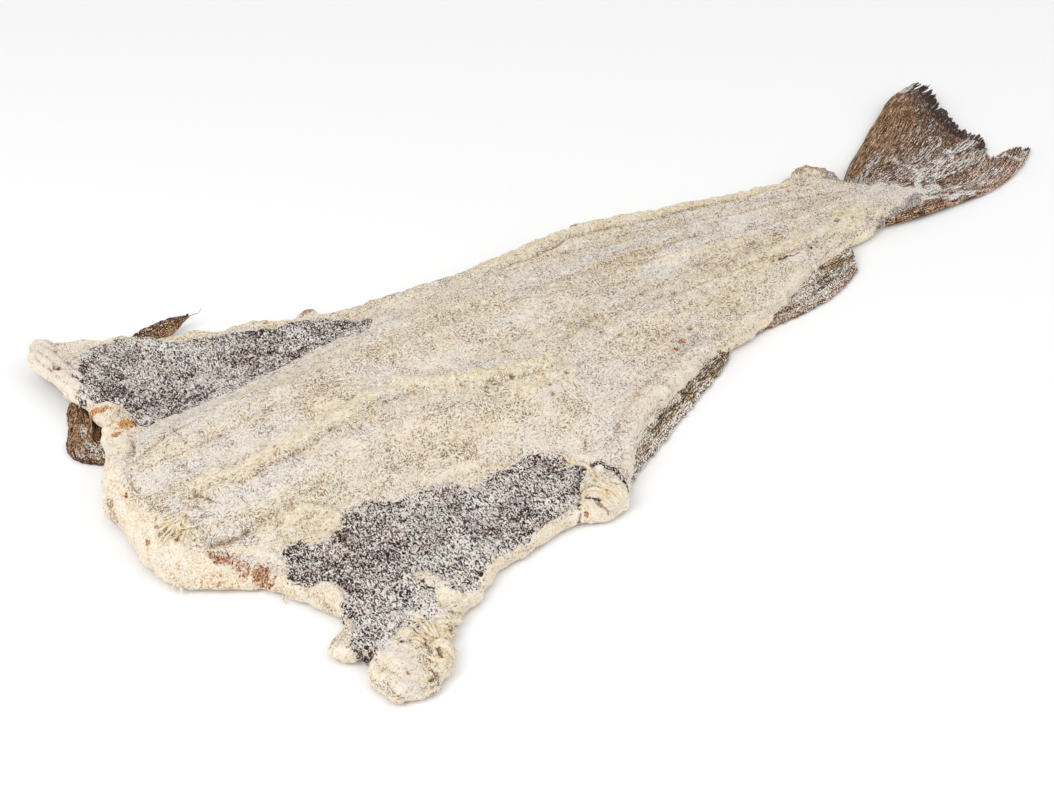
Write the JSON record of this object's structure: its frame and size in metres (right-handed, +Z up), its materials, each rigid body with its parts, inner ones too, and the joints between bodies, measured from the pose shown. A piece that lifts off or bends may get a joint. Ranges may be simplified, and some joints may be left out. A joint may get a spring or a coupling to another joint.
{
  "type": "salted dried cod",
  "caption": "Headless cod, split along the belly, opened flat, salted and dried, lying skin side down with its tail fin on.",
  "frame": {"origin": "middle of the bottom of the fish's box, on the surface it lies on", "axes": "+X along the fish towards the tail fin, +Y towards the far belly flap, +Z up from the skin side to the flesh side"},
  "size_m": [0.7236, 0.3722, 0.0281],
  "materials": {
    "flesh": "matte, dry, salt-dusted",
    "membrane": "matte, dark lining peppered with salt",
    "skin": "satin, fine scales",
    "fin": "satin, ribbed with rays",
    "salt": "matte crystals"
  },
  "bodies": {
    "root": {"cod": "flesh"}
  },
  "joints": []
}
